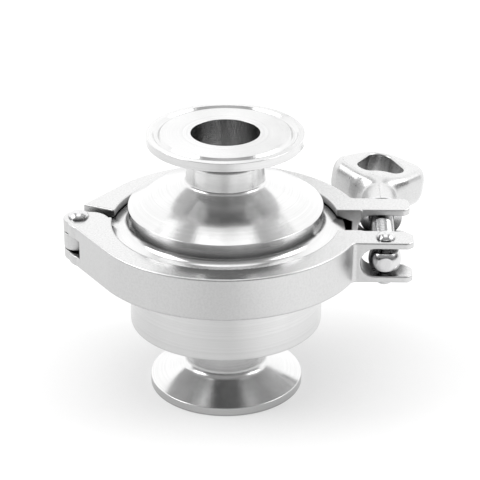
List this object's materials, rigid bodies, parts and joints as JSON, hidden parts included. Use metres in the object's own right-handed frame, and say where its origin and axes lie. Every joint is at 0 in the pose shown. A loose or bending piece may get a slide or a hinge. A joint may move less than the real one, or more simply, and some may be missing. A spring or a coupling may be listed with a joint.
{
  "type": "sanitary check valve",
  "caption": "Spring-loaded sanitary check valve in two halves with clamp ports, held together by a hinged V-clamp with a swing bolt and wing nut.",
  "frame": {"origin": "centre of the outlet port's face, on the valve's axis", "axes": "+Z along the valve's axis from the outlet port to the inlet port, -X towards the clamp's hinge, +X towards its ears, +Y from the swing bolt's pivot towards the wing nut"},
  "size_m": [0.1201, 0.1043, 0.0893],
  "materials": {
    "polished_steel": "mirror polished stainless steel",
    "turned_steel": "fine turned stainless steel",
    "spring_steel": "drawn stainless wire",
    "bright_steel": "bright turned stainless steel",
    "satin_steel": "satin cast stainless steel",
    "cast_satin_steel": "bead-blasted cast stainless steel",
    "gasket_rubber": "black moulded rubber",
    "bush_plastic": "white turned plastic"
  },
  "bodies": {
    "valve_body": {"inlet_ferrule": "polished_steel", "inlet_body": "polished_steel", "body_gasket": "gasket_rubber", "outlet_body": "polished_steel", "outlet_ferrule": "polished_steel", "stem_guide": "turned_steel", "guide_bush": "bush_plastic", "plug_spring": "spring_steel", "clamp_front_half": "satin_steel", "hinge_pin": "bright_steel", "pivot_pin": "bright_steel"},
    "plug": {"nose_cap": "turned_steel", "seal_ring": "gasket_rubber", "plug_disc": "turned_steel", "plug_stem": "turned_steel", "stem_clip": "spring_steel"},
    "rear_clamp": {"clamp_rear_half": "satin_steel"},
    "bolt": {"swing_bolt": "bright_steel"},
    "washer": {"nut_washer": "bright_steel"},
    "nut": {"wing_nut": "cast_satin_steel"}
  },
  "joints": [
    {"name": "plug_lift", "type": "slide", "parent": "valve_body", "child": "plug", "axis": [0, 0, -1], "range_m": [0, 0.008], "stiffness_N_per_m": 300, "springref_m": -0.012, "deforming": ["plug_spring"]},
    {"name": "bolt_swing", "type": "hinge", "parent": "valve_body", "child": "bolt", "pos_m": [0.0511, -0.0132, 0.0523], "axis": [0, 0, -1], "range_deg": [0, 90]},
    {"name": "clamp_open", "type": "hinge", "parent": "valve_body", "child": "rear_clamp", "pos_m": [-0.0477, 0, 0.0523], "axis": [0, 0, 1], "range_deg": [0, 6]},
    {"name": "nut_travel", "type": "slide", "parent": "bolt", "child": "washer", "axis": [0, 1, 0], "range_m": [0, 0.0236]},
    {"name": "nut_spin", "type": "hinge", "parent": "washer", "child": "nut", "pos_m": [0.0511, 0.0189, 0.0523], "axis": [0, 1, 0], "range_deg": [0, 6800]}
  ],
  "couplings": [
    {"joint": "clamp_open", "follows": "bolt_swing", "ratio": 0.0666},
    {"joint": "nut_travel", "follows": "bolt_swing", "m_per_rad": 0.015},
    {"joint": "nut_spin", "follows": "bolt_swing", "ratio": 75.398}
  ]
}
